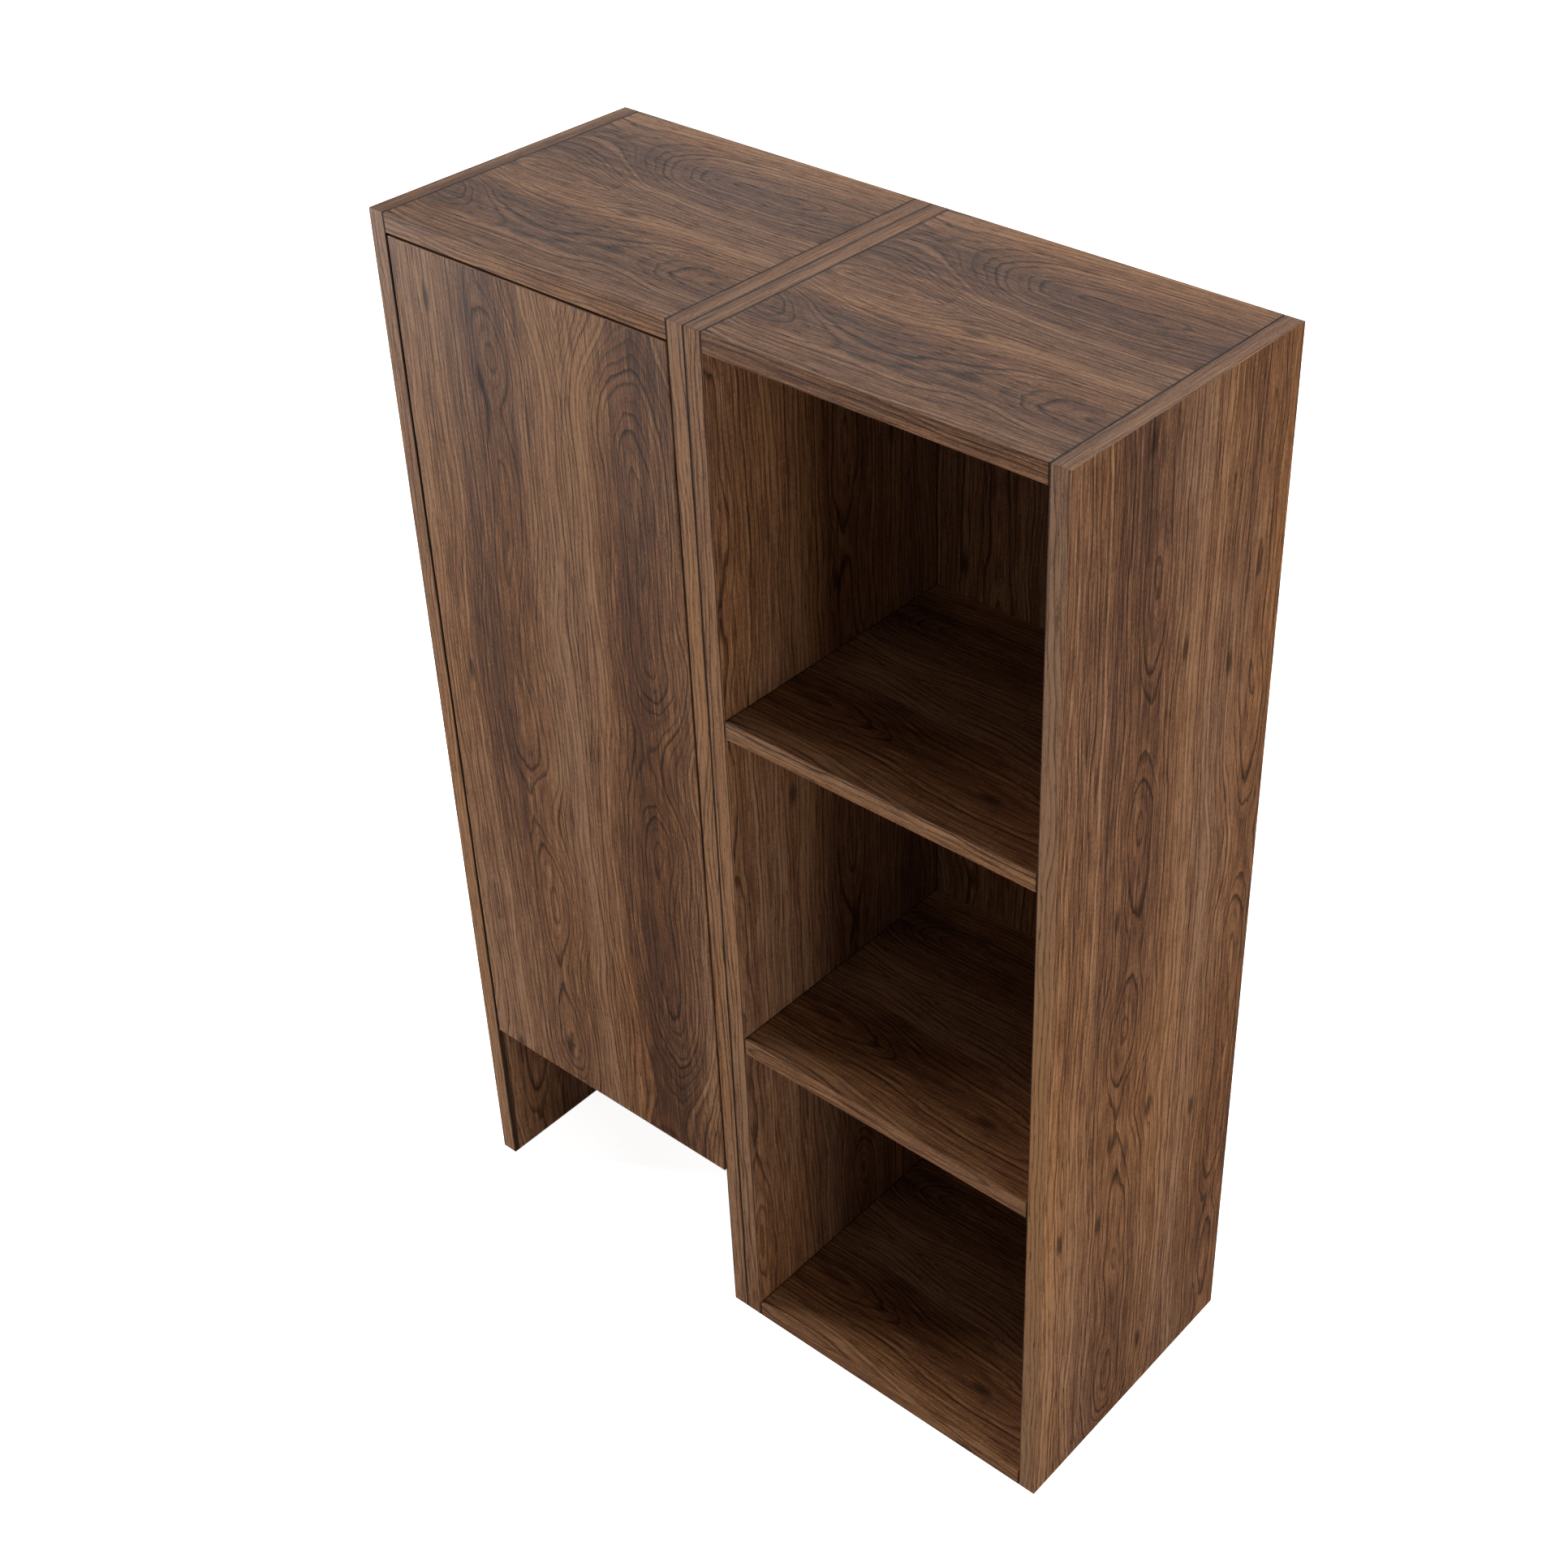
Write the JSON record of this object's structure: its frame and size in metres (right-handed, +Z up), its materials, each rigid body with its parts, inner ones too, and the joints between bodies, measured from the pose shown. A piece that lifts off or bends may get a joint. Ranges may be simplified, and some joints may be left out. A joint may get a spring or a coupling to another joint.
{
  "type": "cube storage unit",
  "caption": "Walnut-veneer cube storage unit: a tall narrow cabinet with an inset handleless door above a toe space, joined to an equal one with open cubes.",
  "frame": {"origin": "on the floor, at the middle of the unit's width and depth", "axes": "+Z up, +X to the right seen from the front, front at -Y"},
  "size_m": [0.732, 0.304, 1.1],
  "materials": {
    "door_veneer": "satin lacquered walnut veneer, grain upright",
    "side_veneer": "satin lacquered walnut veneer, grain upright",
    "back_veneer": "satin walnut veneer, grain upright",
    "top_veneer": "satin lacquered walnut veneer, grain across",
    "shelf_veneer": "satin lacquered walnut veneer, grain across",
    "upright_edge_veneer": "satin walnut edge strip, grain upright",
    "cross_edge_veneer": "satin walnut edge strip, grain across",
    "beech_dowel": "plain fluted beech",
    "zinc_cam": "die-cast zinc",
    "steel_fitting": "bright steel",
    "zinc_screw": "zinc-plated steel",
    "nickel_hinge": "nickel-plated steel",
    "grey_plastic": "moulded, fine texture",
    "white_plastic": "moulded, smooth",
    "magnet": "nickel-plated magnet"
  },
  "bodies": {
    "cabinets": {"cabinet_joining_screws": "zinc_screw", "cube_unit_back": "back_veneer", "cube_unit_bottom": "shelf_veneer", "cube_unit_cam_bolts": "steel_fitting", "cube_unit_cam_locks": "zinc_cam", "cube_unit_cross_edging": "cross_edge_veneer", "cube_unit_dowels": "beech_dowel", "cube_unit_left_side": "side_veneer", "cube_unit_lower_shelf": "shelf_veneer", "cube_unit_right_side": "side_veneer", "cube_unit_top": "top_veneer", "cube_unit_upper_shelf": "shelf_veneer", "cube_unit_upright_edging": "upright_edge_veneer", "door_cabinet_back": "back_veneer", "door_cabinet_bottom": "shelf_veneer", "door_cabinet_cam_bolts": "steel_fitting", "door_cabinet_cam_locks": "zinc_cam", "door_cabinet_cross_edging": "cross_edge_veneer", "door_cabinet_dowels": "beech_dowel", "door_cabinet_left_side": "side_veneer", "door_cabinet_lower_shelf": "shelf_veneer", "door_cabinet_right_side": "side_veneer", "door_cabinet_shelf_pins": "steel_fitting", "door_cabinet_top": "top_veneer", "door_cabinet_upper_shelf": "shelf_veneer", "door_cabinet_upright_edging": "upright_edge_veneer", "hinge_arm_screws": "zinc_screw", "hinge_plate_screws": "zinc_screw", "latch_housing": "grey_plastic", "latch_housing_screws": "zinc_screw", "lower_hinge_arm": "nickel_hinge", "lower_hinge_plate": "nickel_hinge", "upper_hinge_arm": "nickel_hinge", "upper_hinge_plate": "nickel_hinge"},
    "door": {"door_cross_edging": "cross_edge_veneer", "door_panel": "door_veneer", "door_upright_edging": "upright_edge_veneer", "hinge_cup_screws": "zinc_screw", "latch_strike_plate": "zinc_screw", "latch_strike_screw": "zinc_screw", "lower_hinge_cup": "nickel_hinge", "lower_hinge_pin": "steel_fitting", "upper_hinge_cup": "nickel_hinge", "upper_hinge_pin": "steel_fitting"},
    "latch_plunger": {"latch_plunger": "white_plastic", "latch_magnet": "magnet"}
  },
  "joints": [
    {"name": "door_hinge", "type": "hinge", "parent": "cabinets", "child": "door", "pos_m": [-0.33, -0.144, 0], "axis": [0, 0, -1], "range_deg": [0, 95]},
    {"name": "latch_slide", "type": "slide", "parent": "cabinets", "child": "latch_plunger", "axis": [0, -1, 0], "range_m": [0, 0.014]}
  ],
  "couplings": [
    {"joint": "latch_slide", "follows": "door_hinge", "m_per_rad": 0.008435}
  ]
}
